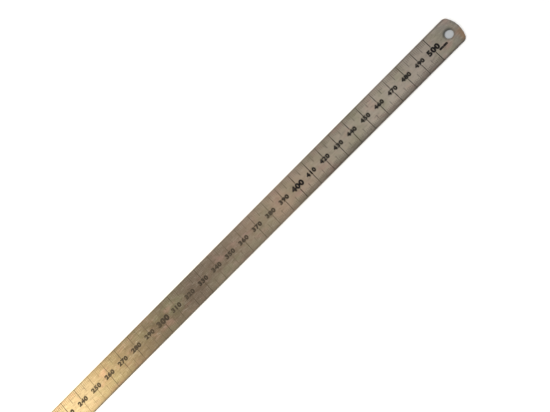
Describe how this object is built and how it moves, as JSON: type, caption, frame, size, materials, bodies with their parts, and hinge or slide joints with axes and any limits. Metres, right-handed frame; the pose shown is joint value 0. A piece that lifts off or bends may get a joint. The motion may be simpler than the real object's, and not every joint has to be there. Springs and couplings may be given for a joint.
{
  "type": "steel ruler",
  "caption": "Flexible steel rule: thin satin strip with etched, black-filled graduations on both edges, a square zero end and a rounded end with a hang hole.",
  "frame": {"origin": "zero end of the scale, on the blade's centre line, at the plain back face", "axes": "+X along the blade from the zero end to the rounded hang end, +Y across it to the edge marked in whole millimetres, +Z out of the etched face"},
  "size_m": [0.5182, 0.018, 0.0005],
  "materials": {
    "satin_steel": "satin, rolled and lightly brushed along the length, worn",
    "black_enamel": "matt black enamel wiped flush into the etched recesses"
  },
  "bodies": {
    "root": {"blade": "satin_steel", "upper_5mm_marks": "black_enamel", "upper_10mm_marks": "black_enamel", "upper_100mm_marks": "black_enamel", "lower_5mm_marks": "black_enamel", "lower_10mm_marks": "black_enamel", "lower_100mm_marks": "black_enamel", "end_line": "black_enamel"}
  },
  "joints": []
}
